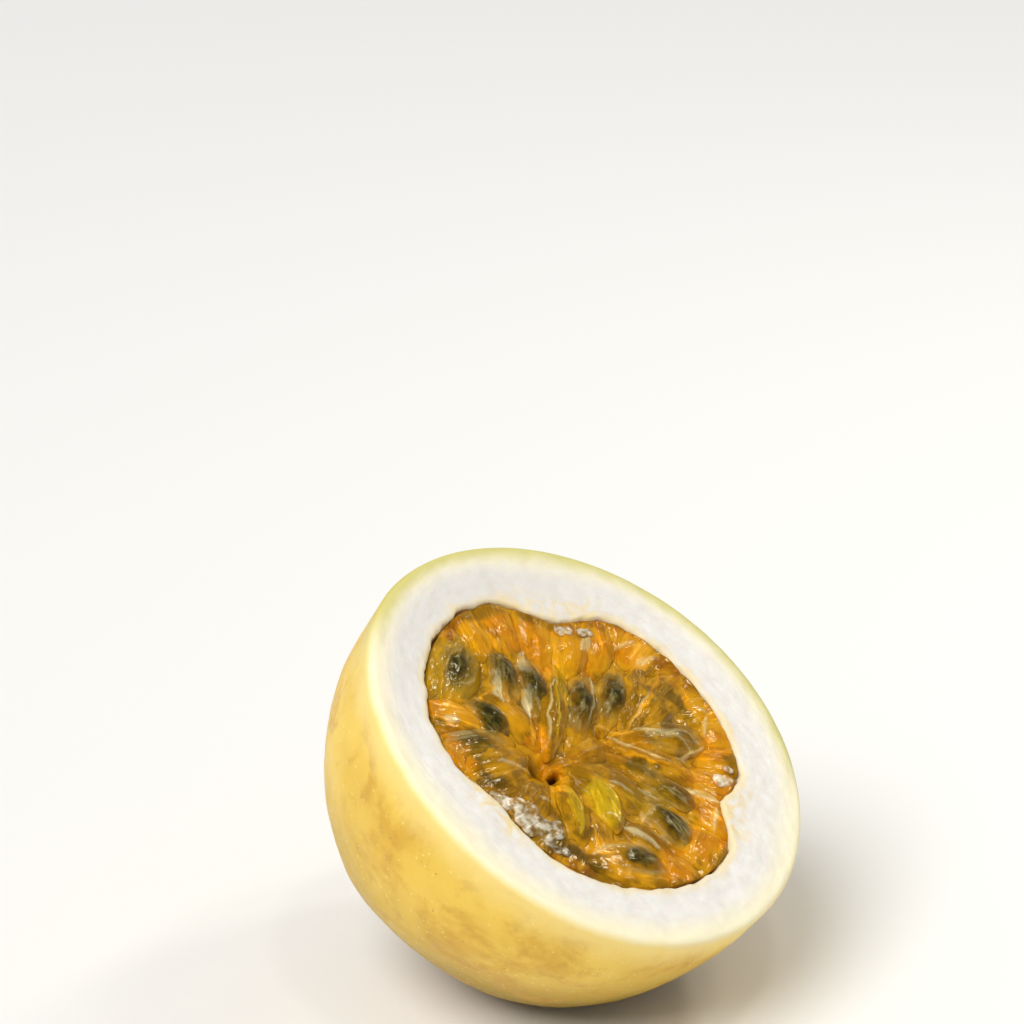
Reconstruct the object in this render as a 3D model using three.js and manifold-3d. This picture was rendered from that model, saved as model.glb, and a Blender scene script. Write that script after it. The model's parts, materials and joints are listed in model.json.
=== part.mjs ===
// Half of a yellow passion fruit, cut across its middle, leaning on the small flat spot it rests on.
// Millimetres, +Z up. The origin is the centre of the flat spot, and the cut face leans towards -Y.
//
// Everything is modelled in the fruit's own frame first: the cut face is the plane z = 0, the fruit's
// axis is +Z pointing out of the cut, +X runs level across the face and +Y runs uphill on it.
import * as THREE from 'three';
import { mergeVertices } from 'three/addons/utils/BufferGeometryUtils.js';
import Module from 'manifold-3d';

const wasm = await Module();
wasm.setup();

// ---------------------------------------------------------------- driving dimensions
const RIND_RADIUS = 31; // the fruit is 62 mm across at the cut
const RIND_DEPTH = 37; // from the cut face to the fruit's end, half of its 74 mm length
const RIND_FULLNESS = 2.15; // exponent of the side profile: 2 is an ellipse, and more is boxier
const OVALNESS = 0.009; // how far the round of the fruit is from a circle, as a share of its radius
const THREE_SIDEDNESS = 0.011;
const CAVITY_RADIUS = 22.6; // the white pith is about 8.5 mm thick
const CAVITY_DEPTH = 27;
const CAVITY_SHIFT = -0.9; // the cavity sits off the fruit's axis, towards -X
const RIM_ROUND = 0.7; // the knife leaves a slightly rounded outer edge
const LEAN = THREE.MathUtils.degToRad(36); // the cut face's slope from level
const FLAT_DEPTH = 1.2; // how far the soft skin gives where it rests
const GAP = 0.3; // clearance between neighbouring pieces

// The three ridges that the seeds grow from stand into the cavity. Bearings and half widths are in
// degrees about the cavity's middle.
const RIDGES = [
  { bearing: 58, height: 4.2, halfWidth: 18 },
  { bearing: 186, height: 2.2, halfWidth: 17 },
  { bearing: 303, height: 3.4, halfWidth: 12 },
];

const RIND_SEGMENTS = 48;
const SKIN_STEPS = 12;
const WALL_STEPS = 7;
const SAC_SEGMENTS = 8;
const SAC_STEPS = 6;
const SEED_SEGMENTS = 8;
const SEED_STEPS = 4;

const SAC_HEIGHT_SHARE = 0.86; // a sac is a little flatter than it is wide
const SAC_HEIGHT_LIMIT = 4.2; // the widest sacs lie flat
const SAC_TOP = -0.5; // default height of a sac's top over the cut face
const BED_TOP = -5.4; // the mass of deeper sacs and juice that the top ones lie on
const SEED_LENGTH = 5.4;
const SEED_WIDTH = 3.4;
const SEED_THICKNESS = 2.3;
const SEED_PROUD = 0.35; // the cut leaves each visible seed just proud of its sac

// The sacs that show on the cut face, each from its narrow inner tip to its full outer end, as
// [x, y] on the face. A later sac is tucked under the earlier ones that it meets. seed is how far
// along the sac its seed lies, where one shows.
const SACS = [
  // the long sacs that spread from the middle, uphill ones first
  { from: [-18.2, 11.8], to: [-5.2, 19.0], width: 8.0, seed: 0.6 },
  { from: [-8.9, 6.4], to: [-2.2, 16.0], width: 4.7, seed: 0.68 },
  { from: [-6.4, 4.0], to: [1.5, 13.7], width: 4.5, seed: 0.56 },
  { from: [-8.3, 0.3], to: [4.2, 10.8], width: 4.4, top: -0.2 },
  { from: [-4.6, -0.4], to: [8.2, 8.2], width: 4.9, seed: 0.58 },
  { from: [2.4, -0.2], to: [13.8, 6.2], width: 5.0, seed: 0.52 },
  { from: [5.4, -1.2], to: [15.8, 4.6], width: 3.4, top: -0.2 },
  { from: [4.8, -2.0], to: [20.2, 1.0], width: 6.5, top: 0.0 },
  { from: [3.2, -1.4], to: [16.4, -8.0], width: 6.1, seed: 0.64, top: -0.2 },
  { from: [-4.0, -4.4], to: [-8.2, -12.2], width: 3.4, top: 0.1 },
  { from: [-9.3, -3.0], to: [-13.8, -10.8], width: 3.8, top: 0.0 },
  { from: [-5.8, -1.6], to: [-0.6, -11.6], width: 7.3, top: -0.4 },
  { from: [0.6, -2.4], to: [5.2, -13.4], width: 5.3, seed: 0.84, top: -0.6 },
  { from: [2.4, -1.8], to: [10.2, -12.0], width: 5.7, top: -0.6 },
  { from: [-0.8, -8.4], to: [0.7, -18.6], width: 6.2, seed: 0.62 },
  { from: [-14.8, -12.2], to: [-5.2, -19.0], width: 6.2, seed: 0.6, top: 0.0, tone: 'orange' },
  { from: [-6.4, -10.0], to: [-4.2, -18.2], width: 4.9, top: -0.4 },
  { from: [-8.6, -6.6], to: [-12.4, -14.4], width: 5.1, top: -0.7 },
  { from: [-10.6, -1.4], to: [-21.3, -5.1], width: 5.5, top: -0.5 },
  { from: [-12.2, -5.6], to: [-21.4, -10.1], width: 5.5, top: -0.6 },
  { from: [-9.6, 2.0], to: [-21.5, 4.3], width: 4.9, top: -0.5 },
  { from: [-11.2, 0.6], to: [-22.9, 0.7], width: 5.5, top: -0.6 },
  { from: [-10.4, 4.4], to: [-19.9, 7.2], width: 4.9, seed: 0.76, top: -0.6 },
  { from: [-7.4, 1.6], to: [-9.2, 12.6], width: 5.5, top: -0.6 },
  { from: [-9.8, 4.4], to: [-12.8, 12.0], width: 5.7, seed: 0.54, top: -0.9 },
  { from: [-9.4, -0.6], to: [3.4, -1.8], width: 5.0, top: -1.4 },
  // the full outer ends of deeper sacs that line the wall, anticlockwise from the left
  { from: [-12.6, -8.2], to: [-20.3, -14.1], width: 5.7, top: -1.0 },
  { from: [-5.6, -15.8], to: [-4.0, -22.9], width: 6.1, tone: 'orange', top: -0.4 },
  { from: [0.2, -15.2], to: [2.5, -22.7], width: 7.1, tone: 'orange', top: -0.5 },
  { from: [4.4, -11.8], to: [9.1, -19.6], width: 6.1, tone: 'orange', top: -0.7 },
  { from: [7.8, -9.0], to: [14.2, -16.5], width: 5.5, tone: 'orange', top: -0.7 },
  { from: [11.2, -8.4], to: [19.2, -13.1], width: 5.3, tone: 'orange', top: -0.8 },
  { from: [12.6, -6.2], to: [21.7, -9.3], width: 5.5, tone: 'orange', top: -0.6 },
  { from: [12.4, -2.8], to: [22.3, -5.2], width: 5.7, tone: 'orange', top: -0.6 },
  { from: [15.4, 0.2], to: [22.5, -1.2], width: 5.3, tone: 'orange', top: -0.7 },
  { from: [14.2, 3.2], to: [22.3, 3.6], width: 5.1, tone: 'orange', top: -0.6 },
  { from: [12.8, 5.4], to: [21.9, 8.3], width: 5.5, tone: 'orange', top: -0.6 },
  { from: [12.6, 7.8], to: [19.8, 12.1], width: 5.3, tone: 'orange', top: -0.9 },
  { from: [8.2, 6.4], to: [16.3, 12.8], width: 5.9, tone: 'orange', top: -0.7 },
  { from: [4.0, 7.8], to: [11.3, 14.4], width: 6.1, tone: 'orange', top: -0.3 },
  { from: [0.8, 9.8], to: [7.3, 18.5], width: 6.3, tone: 'orange', top: -0.6 },
  { from: [-2.0, 12.4], to: [2.2, 21.8], width: 5.9, tone: 'orange' },
  { from: [-6.0, 13.6], to: [-2.5, 22.2], width: 5.7, tone: 'orange' },
  { from: [-12.4, 8.0], to: [-20.2, 12.4], width: 5.7, tone: 'orange', top: -0.4 },
  { from: [-15.2, 7.6], to: [-23.1, 9.6], width: 5.1, tone: 'orange', top: -0.8 },
  { from: [-16.6, 5.4], to: [-23.8, 6.1], width: 5.1, tone: 'orange', top: -0.6 },
];

// ---------------------------------------------------------------- materials
const MATERIALS = {
  rind: new THREE.MeshStandardMaterial({ color: '#e6c55c', roughness: 0.5, metalness: 0 }),
  bed: new THREE.MeshStandardMaterial({ color: '#9c5f0c', roughness: 0.25, metalness: 0 }),
  olive: new THREE.MeshStandardMaterial({ color: '#a8851c', roughness: 0.15, metalness: 0 }),
  orange: new THREE.MeshStandardMaterial({ color: '#d9840f', roughness: 0.15, metalness: 0 }),
  seed: new THREE.MeshStandardMaterial({ color: '#2d2f16', roughness: 0.3, metalness: 0 }),
};

// ---------------------------------------------------------------- solids and booleans
// A closed geometry as a manifold-3d solid.
function solidOf(geometry) {
  const bare = geometry.clone();
  bare.deleteAttribute('normal');
  bare.deleteAttribute('uv');
  const merged = mergeVertices(bare, 1e-4);
  return new wasm.Manifold(
    new wasm.Mesh({
      numProp: 3,
      vertProperties: new Float32Array(merged.attributes.position.array),
      triVerts: new Uint32Array(merged.index.array),
    }),
  );
}

// The largest body of a solid: a cut between two close neighbours can shed crumbs.
function largestBody(solid) {
  return solid.decompose().reduce((a, b) => (b.volume() > a.volume() ? b : a));
}

function geometryOf(solid) {
  const mesh = solid.getMesh();
  const geometry = new THREE.BufferGeometry();
  geometry.setAttribute('position', new THREE.BufferAttribute(mesh.vertProperties, 3));
  geometry.setIndex(new THREE.BufferAttribute(mesh.triVerts, 1));
  geometry.computeVertexNormals();
  return geometry;
}

function meshOf(name, solid, material) {
  const mesh = new THREE.Mesh(geometryOf(solid), material);
  mesh.name = name;
  return mesh;
}

// ---------------------------------------------------------------- rind
// Points of the side profile below the cut face, from angle a to angle b under the face.
function sideProfile(radius, depth, a, b, steps) {
  const power = 2 / RIND_FULLNESS;
  return Array.from({ length: steps + 1 }, (_, i) => {
    const angle = Math.min(a + ((b - a) * i) / steps, Math.PI / 2);
    const out = Math.max(0, Math.cos(angle));
    return new THREE.Vector2(radius * out ** power, -depth * Math.sin(angle) ** power);
  });
}

// The profile's angle at a given depth under the face.
function profileAngle(below, depth) {
  return Math.asin((Math.max(0, below) / depth) ** (RIND_FULLNESS / 2));
}

// How far the fruit's round is from a circle at a bearing, as a factor.
function roundness(bearing) {
  return 1 + OVALNESS * Math.cos(2 * bearing) + THREE_SIDEDNESS * Math.cos(3 * bearing);
}

// How far into the cavity the wall stands at a bearing.
function ridgeAt(bearing) {
  const degrees = THREE.MathUtils.radToDeg(bearing);
  const heights = RIDGES.map((ridge) => {
    const away = THREE.MathUtils.euclideanModulo(degrees - ridge.bearing + 180, 360) - 180;
    return ridge.height * Math.exp(-((away / ridge.halfWidth) ** 2));
  });
  return Math.max(...heights);
}

// Turns a profile about the fruit's axis, and scales each point out from the axis by factor of its
// bearing and radius. LatheGeometry turns about Y, so the result is stood up on Z.
function turned(profile, factor) {
  const points = profile.map((p, i) =>
    i === 0 || i === profile.length - 1 ? new THREE.Vector2(0, p.y) : p,
  );
  const geometry = new THREE.LatheGeometry(points, RIND_SEGMENTS).rotateX(Math.PI / 2);
  const position = geometry.attributes.position;
  for (let i = 0; i < position.count; i++) {
    const x = position.getX(i);
    const y = position.getY(i);
    const share = factor(Math.atan2(y, x), Math.hypot(x, y));
    position.setXY(i, x * share, y * share);
  }
  return geometry;
}

// The space inside the pith, taken in by inset, with its mouth at height top.
function cavity(inset, top) {
  const radius = CAVITY_RADIUS - inset;
  const depth = CAVITY_DEPTH - inset;
  const wall = sideProfile(radius, depth, profileAngle(-top, depth), Math.PI / 2, WALL_STEPS);
  if (top > 0) wall.unshift(new THREE.Vector2(radius, top));
  const profile = [...wall.reverse(), new THREE.Vector2(0, top)];
  const ridged = (bearing, r) => 1 - (ridgeAt(bearing) * Math.min(1, r / radius)) / radius;
  return solidOf(turned(profile, ridged).translate(CAVITY_SHIFT, 0, 0));
}

// The outside of the half fruit, with its rounded rim, as one closed solid.
function outside() {
  const rimStart = profileAngle(RIM_ROUND, RIND_DEPTH);
  const skin = sideProfile(RIND_RADIUS, RIND_DEPTH, rimStart, Math.PI / 2, SKIN_STEPS).reverse();
  const rim = [
    new THREE.Vector2(RIND_RADIUS - RIM_ROUND * 0.3, -RIM_ROUND * 0.3),
    new THREE.Vector2(RIND_RADIUS - RIM_ROUND, 0),
  ];
  return solidOf(turned([...skin, ...rim, new THREE.Vector2(0, 0)], roundness));
}

// The skin's lowest point once the fruit leans, by the support function of its side profile.
const DUAL = RIND_FULLNESS / (RIND_FULLNESS - 1);
const ACROSS = RIND_RADIUS * Math.sin(LEAN);
const DOWN = RIND_DEPTH * Math.cos(LEAN);
const REACH = (ACROSS ** DUAL + DOWN ** DUAL) ** (1 / DUAL);
const LOWEST = new THREE.Vector2(
  -RIND_RADIUS * (ACROSS / REACH) ** (DUAL - 1),
  -RIND_DEPTH * (DOWN / REACH) ** (DUAL - 1),
).rotateAround(new THREE.Vector2(), LEAN);
const CENTRE_HEIGHT = REACH - FLAT_DEPTH;

// The fruit's own frame, set down in the part's frame with the flat spot centred on the origin.
const fruit = new THREE.Group();
fruit.rotation.x = LEAN;
fruit.position.set(0, (-LOWEST.x * CENTRE_HEIGHT) / REACH, CENTRE_HEIGHT);
fruit.updateMatrixWorld(true);

// Everything below the surface that the fruit rests on, in the fruit's own frame.
function belowSurface() {
  const size = 4 * RIND_RADIUS;
  const box = new THREE.BoxGeometry(size, size, size).translate(0, 0, -size / 2);
  return solidOf(box.applyMatrix4(fruit.matrixWorld.clone().invert()));
}

function rind() {
  return outside().subtract(cavity(0, 1)).subtract(belowSurface());
}

// ---------------------------------------------------------------- sacs and seeds
// A closed drop along +X, from 0 to length: narrow at the start and full towards the end.
function drop(length, width, height) {
  const profile = Array.from({ length: SAC_STEPS + 1 }, (_, i) => {
    const t = (1 - Math.cos((Math.PI * i) / SAC_STEPS)) / 2;
    return new THREE.Vector2((Math.sin(Math.PI * t ** 1.25) ** 0.6 * width) / 2, t * length);
  });
  profile[0].x = 0;
  profile[SAC_STEPS].x = 0;
  return new THREE.LatheGeometry(profile, SAC_SEGMENTS)
    .rotateZ(-Math.PI / 2)
    .scale(1, 1, height / width);
}

// Puts a geometry made along +X on the line of a sac, centred at height z.
function along(sac, geometry, z) {
  const [x, y] = sac.from;
  const bearing = Math.atan2(sac.to[1] - y, sac.to[0] - x);
  return geometry.rotateZ(bearing).translate(x, y, z);
}

function lengthOf(sac) {
  return Math.hypot(sac.to[0] - sac.from[0], sac.to[1] - sac.from[1]);
}

// The whole sac before its neighbours press into it, grown by margin all round.
function sacBody(sac, margin) {
  const height = Math.min(sac.width * SAC_HEIGHT_SHARE, SAC_HEIGHT_LIMIT);
  const centre = (sac.top ?? SAC_TOP) - height / 2;
  const body = drop(lengthOf(sac) + 2 * margin, sac.width + 2 * margin, height + 2 * margin);
  return solidOf(along(sac, body.translate(-margin, 0, 0), centre));
}

// A sac's seed, a flat oval standing a little proud of the sac, grown by margin all round.
function seedBody(sac, margin) {
  const seed = new THREE.SphereGeometry(0.5, SEED_SEGMENTS, SEED_STEPS)
    .rotateY(Math.PI / 2)
    .scale(SEED_LENGTH + 2 * margin, SEED_WIDTH + 2 * margin, SEED_THICKNESS + 2 * margin)
    .translate(lengthOf(sac) * sac.seed, 0, 0);
  const centre = (sac.top ?? SAC_TOP) + SEED_PROUD - SEED_THICKNESS / 2;
  return solidOf(along(sac, seed, centre));
}

// ---------------------------------------------------------------- assembly
const twoDigits = (n) => String(n).padStart(2, '0');

fruit.add(meshOf('rind', rind(), MATERIALS.rind));

const room = cavity(GAP, 0).subtract(cavity(0, BED_TOP + GAP)); // what the pith and bed leave free
let taken = null; // the sacs and seeds placed so far, each grown by the gap
SACS.forEach((sac, i) => {
  const number = twoDigits(i + 1);
  let body = sacBody(sac, 0).intersect(room);
  let claim = sacBody(sac, GAP);
  if (taken) body = body.subtract(taken);
  if (sac.seed) {
    let seed = seedBody(sac, 0);
    if (taken) seed = seed.subtract(taken);
    claim = claim.add(seedBody(sac, GAP));
    body = body.subtract(seedBody(sac, GAP));
    fruit.add(meshOf(`seed_${number}`, largestBody(seed), MATERIALS.seed));
  }
  fruit.add(meshOf(`sac_${number}`, largestBody(body), MATERIALS[sac.tone ?? 'olive']));
  taken = taken ? taken.add(claim) : claim;
});
fruit.add(meshOf('pulp_bed', cavity(GAP, BED_TOP), MATERIALS.bed));

const part = new THREE.Group();
part.add(fruit);

export default part;
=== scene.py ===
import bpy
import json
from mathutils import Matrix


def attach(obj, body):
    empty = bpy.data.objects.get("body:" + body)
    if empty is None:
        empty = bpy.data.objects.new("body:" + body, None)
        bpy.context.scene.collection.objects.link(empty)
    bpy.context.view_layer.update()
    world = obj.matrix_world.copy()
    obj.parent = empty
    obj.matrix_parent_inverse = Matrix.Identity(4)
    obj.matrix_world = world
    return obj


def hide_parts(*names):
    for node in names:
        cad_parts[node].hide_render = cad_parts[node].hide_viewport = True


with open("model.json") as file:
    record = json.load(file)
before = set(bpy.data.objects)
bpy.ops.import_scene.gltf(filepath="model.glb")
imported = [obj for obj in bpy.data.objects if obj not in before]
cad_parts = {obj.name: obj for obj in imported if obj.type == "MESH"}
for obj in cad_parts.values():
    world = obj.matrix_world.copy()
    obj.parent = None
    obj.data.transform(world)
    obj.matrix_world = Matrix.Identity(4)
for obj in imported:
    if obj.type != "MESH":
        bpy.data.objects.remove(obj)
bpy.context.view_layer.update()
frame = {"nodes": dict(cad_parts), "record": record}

# Half of a yellow passion fruit: a waxy rind with thick white pith round glossy seed sacs.
#
# Shapes are worked out in the fruit's own frame, in millimetres: the cut face is z = 0, +Z points
# out of it, +X runs level across it and +Y runs uphill on it. to_row() takes them to the row's frame.
import copy
import json
import math
import random

import bmesh
import bpy
import numpy as np
from mathutils import Matrix, Vector, noise

MM = 0.001

# ---------------------------------------------------------------- the fruit, as the CAD part has it
LEAN = math.radians(36)
RIND_RADIUS = 31.0
RIND_DEPTH = 37.0
RIND_FULLNESS = 2.15
OVALNESS = 0.009
THREE_SIDEDNESS = 0.011
CAVITY_RADIUS = 22.6
CAVITY_DEPTH = 27.0
CAVITY_SHIFT = -0.9
RIDGES = [(58, 4.2, 18), (186, 2.2, 17), (303, 3.4, 12)]  # bearing, height and half width

ACROSS = Vector((1, 0, 0))
UPHILL = Vector((0, math.cos(LEAN), math.sin(LEAN)))
OUT = Vector((0, -math.sin(LEAN), math.cos(LEAN)))


def points_of(mesh):
    """The vertices of a mesh as an array."""
    co = np.empty(len(mesh.vertices) * 3)
    mesh.vertices.foreach_get("co", co)
    return co.reshape(-1, 3)


def fruit_frame():
    """The matrix from the fruit's own frame, in millimetres, to the row's frame, in metres."""
    rind = points_of(frame["nodes"]["rind"].data)
    up = rind @ np.array(UPHILL)
    centre = OUT * float((rind @ np.array(OUT)).max()) + UPHILL * float((up.max() + up.min()) / 2)
    axes = Matrix((ACROSS, UPHILL, OUT)).transposed().to_4x4()
    return Matrix.Translation(centre) @ axes @ Matrix.Scale(MM, 4)


FRUIT = fruit_frame()
FROM_ROW = np.array(FRUIT.inverted())
TO_ROW = np.array(FRUIT)


def to_fruit(points):
    return points @ FROM_ROW[:3, :3].T + FROM_ROW[:3, 3]


def to_row(points):
    return points @ TO_ROW[:3, :3].T + TO_ROW[:3, 3]


# ---------------------------------------------------------------- small helpers
def srgb(red, green, blue):
    """A colour given as 0 to 255 display values, as linear light with alpha."""
    linear = []
    for value in (red / 255, green / 255, blue / 255):
        linear.append(value / 12.92 if value <= 0.04045 else ((value + 0.055) / 1.055) ** 2.4)
    return (*linear, 1.0)


def smooth_step(low, high, value):
    t = np.clip((value - low) / (high - low), 0, 1)
    return t * t * (3 - 2 * t)


def waves(points, size, octaves=3, seed=0.0):
    """Fractal noise from about -1 to 1 at each point; size is the widest wave, in millimetres."""
    offset = Vector((seed * 17.3, seed * 5.1, seed * 29.7))
    return np.array(
        [noise.fractal(Vector(p) / size + offset, 1.0, 2.0, octaves) for p in points]
    )


def turn_between(a, b):
    """The smallest angle between two bearings."""
    return np.abs(np.arctan2(np.sin(a - b), np.cos(a - b)))


def mesh_object(name, points, faces):
    """A smooth-shaded mesh object in the scene, from points and faces."""
    mesh = bpy.data.meshes.new(name)
    mesh.from_pydata([tuple(p) for p in points], [], faces)
    mesh.validate()
    return smooth_object(mesh)


def smooth_object(mesh):
    """A smooth-shaded object of a mesh, in the scene."""
    mesh.shade_smooth()
    obj = bpy.data.objects.new(mesh.name, mesh)
    bpy.context.scene.collection.objects.link(obj)
    return obj


def set_values(obj, name, values):
    """Stores one number, or one vector, for each vertex."""
    values = np.asarray(values, dtype=np.float32)
    if values.ndim == 1:
        obj.data.attributes.new(name, "FLOAT", "POINT").data.foreach_set("value", values)
    else:
        data = obj.data.attributes.new(name, "FLOAT_VECTOR", "POINT").data
        data.foreach_set("vector", values.ravel())


def grid_faces(rings, around):
    """Quads of a grid whose rings each close on themselves; points are stored ring by ring."""
    faces = []
    for ring in range(rings - 1):
        for i in range(around):
            j = (i + 1) % around
            a, b = ring * around, (ring + 1) * around
            faces.append((a + i, a + j, b + j, b + i))
    return faces


def closed_rings(rings, around, start, end):
    """Faces of rings closed by one point at each end; start and end are those points' numbers."""
    faces = grid_faces(rings, around)
    last = (rings - 1) * around
    for i in range(around):
        j = (i + 1) % around
        faces.append((start, j, i))
        faces.append((last + i, last + j, end))
    return faces


# ---------------------------------------------------------------- material helpers
class Nodes:
    """A short way to write a material's node tree."""

    def __init__(self, name):
        self.material = bpy.data.materials.new(name)
        self.material.use_nodes = True
        self.tree = self.material.node_tree
        self.shader = self.tree.nodes["Principled BSDF"]

    def add(self, kind, inputs=None, **settings):
        node = self.tree.nodes.new(kind)
        for key, value in settings.items():
            setattr(node, key, value)
        for key, value in (inputs or {}).items():
            self.put(node.inputs[key], value)
        return node

    def put(self, socket, value):
        if isinstance(value, bpy.types.NodeSocket):
            self.tree.links.new(value, socket)
        else:
            socket.default_value = value

    def set(self, **values):
        """Sets the shader's own sockets; an underscore stands for a space."""
        for key, value in values.items():
            self.put(self.shader.inputs[key.replace("_", " ")], value)

    def value(self, name):
        return self.add("ShaderNodeAttribute", attribute_name=name).outputs["Fac"]

    def vector(self, name):
        return self.add("ShaderNodeAttribute", attribute_name=name).outputs["Vector"]

    def scaled(self, vector, factors):
        inputs = {0: vector, 1: factors}
        return self.add("ShaderNodeVectorMath", inputs, operation="MULTIPLY").outputs[0]

    def noise(self, vector, scale, detail=3.0, roughness=0.5, distortion=0.0):
        inputs = {
            "Vector": vector,
            "Scale": scale,
            "Detail": detail,
            "Roughness": roughness,
            "Distortion": distortion,
        }
        return self.add("ShaderNodeTexNoise", inputs).outputs["Fac"]

    def cells(self, vector, scale):
        inputs = {"Vector": vector, "Scale": scale}
        return self.add("ShaderNodeTexVoronoi", inputs).outputs["Distance"]

    def math(self, operation, a, b=0.0):
        return self.add("ShaderNodeMath", {0: a, 1: b}, operation=operation).outputs[0]

    def ramp(self, value, low, high, start=0.0, end=1.0):
        """value from low to high becomes start to end, eased and held at both ends."""
        inputs = {
            "Value": value,
            "From Min": low,
            "From Max": high,
            "To Min": start,
            "To Max": end,
        }
        return self.add("ShaderNodeMapRange", inputs, interpolation_type="SMOOTHSTEP").outputs[0]

    def mix(self, share, a, b, blend="MIX"):
        node = self.add("ShaderNodeMix", data_type="RGBA", blend_type=blend)
        self.put(node.inputs["Factor"], share)
        self.put(node.inputs["A"], a)
        self.put(node.inputs["B"], b)
        return node.outputs["Result"]

    def bump(self, height, strength, distance):
        inputs = {"Height": height, "Strength": strength, "Distance": distance * MM}
        return self.add("ShaderNodeBump", inputs).outputs["Normal"]


# ---------------------------------------------------------------- rind
AROUND = 320
SKIN_ROWS = 150
RIM_ROWS = 8
FACE_ROWS = 52
LIP_ROWS = 6
WALL_ROWS = 70
RIM_ROUND = 1.3
LIP_ROUND = 0.7
FACE_EDGE = 7.0  # what the cut face's width counts as in the "edge" distances
LIP_EDGE = 1.4  # and what the rounded inner lip counts as
FAR_FROM_EDGE = 60.0  # the "edge" distance at the skin's and the cavity's lowest points
LIP_RAGGED = 0.35
CAVITY_EDGE = -8.6  # the "edge" distance where the cut face ends
SKIN_PLUMPNESS = 0.7  # how far the sides stand out, away from the rim and the table
SCAR_RADIUS = 2.6
SCAR_DEPTH = 0.9
SCAR_RING = (1.5, 0.4, 0.35)  # its radius, half width and height
BEARINGS = np.arange(AROUND) * 2 * np.pi / AROUND


def roundness(bearing):
    return 1 + OVALNESS * np.cos(2 * bearing) + THREE_SIDEDNESS * np.cos(3 * bearing)


def ridge_at(bearing):
    """How far into the cavity the wall stands at a bearing."""
    heights = []
    for middle, height, half_width in RIDGES:
        away = turn_between(bearing, math.radians(middle)) / math.radians(half_width)
        heights.append(height * np.exp(-(away**2)))
    return np.max(heights, axis=0)


def side_profile(radius, depth, count, top=0.0):
    """Radii and heights down a side profile, evenly spaced, from height top to the bottom."""
    angle = np.linspace(0, np.pi / 2, 4000)
    r = radius * np.cos(angle) ** (2 / RIND_FULLNESS)
    z = -depth * np.sin(angle) ** (2 / RIND_FULLNESS)
    keep = z <= top
    r, z = r[keep], z[keep]
    r[-1] = 0
    run = np.concatenate([[0], np.cumsum(np.hypot(np.diff(r), np.diff(z)))])
    at = np.linspace(0, run[-1], count)
    return np.interp(at, run, r), np.interp(at, run, z), at


def cavity_ring(radius, z, inset=0.0):
    """The cavity wall's ring of points whose radius, before the ridges, is radius."""
    share = 1 - ridge_at(BEARINGS) * min(1, radius / CAVITY_RADIUS) / CAVITY_RADIUS
    r = np.maximum(0, radius * share - inset)
    return np.stack(
        [CAVITY_SHIFT + r * np.cos(BEARINGS), r * np.sin(BEARINGS), np.full(AROUND, z)], axis=1
    )


def skin_ring(radius, z):
    r = radius * roundness(BEARINGS)
    return np.stack([r * np.cos(BEARINGS), r * np.sin(BEARINGS), np.full(AROUND, z)], axis=1)


def rind_rings():
    """The rind's rings of points, from its lowest point over the rim into the cavity.

    Each ring comes with its edge value, its distance from the rim: down the skin it is positive,
    and across the cut face and into the cavity it is negative.
    """
    rings, edge = [], []

    radii, heights, run = side_profile(RIND_RADIUS, RIND_DEPTH, SKIN_ROWS, -RIM_ROUND)
    for r, z, s in reversed(list(zip(radii[:-1], heights[:-1], run[:-1]))):
        rings.append(skin_ring(r, z))
        edge.append(s + RIM_ROUND)
    for i in range(1, RIM_ROWS + 1):
        turn = math.pi / 2 * i / RIM_ROWS
        out = RIND_RADIUS - RIM_ROUND * (1 - math.cos(turn))
        rings.append(skin_ring(out, -RIM_ROUND * (1 - math.sin(turn))))
        edge.append(RIM_ROUND * (1 - 2 * i / RIM_ROWS))

    outwards = np.stack([np.cos(BEARINGS), np.sin(BEARINGS), np.zeros(AROUND)], axis=1)
    torn = LIP_RAGGED * waves(cavity_ring(CAVITY_RADIUS, 0), 2.2, 3, seed=1)
    ragged = torn[:, None] * outwards
    outer = skin_ring(RIND_RADIUS - RIM_ROUND, 0)
    inner = cavity_ring(CAVITY_RADIUS + LIP_ROUND, 0) + ragged
    for i in range(1, FACE_ROWS + 1):
        t = i / FACE_ROWS
        rings.append(outer * (1 - t) + inner * t)
        edge.append(-RIM_ROUND - t * FACE_EDGE)
    for i in range(1, LIP_ROWS + 1):
        turn = math.pi / 2 * i / LIP_ROWS
        ring = cavity_ring(CAVITY_RADIUS + LIP_ROUND * (1 - math.sin(turn)), 0) + ragged
        ring[:, 2] = -LIP_ROUND * (1 - math.cos(turn))
        rings.append(ring)
        edge.append(-RIM_ROUND - FACE_EDGE - LIP_EDGE * i / (LIP_ROWS + 1))

    radii, heights, run = side_profile(CAVITY_RADIUS, CAVITY_DEPTH, WALL_ROWS, -LIP_ROUND)
    for r, z, s in list(zip(radii, heights, run))[1:-1]:
        rings.append(cavity_ring(r, z))
        edge.append(-RIM_ROUND - FACE_EDGE - LIP_EDGE - s)
    return rings, edge


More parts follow.
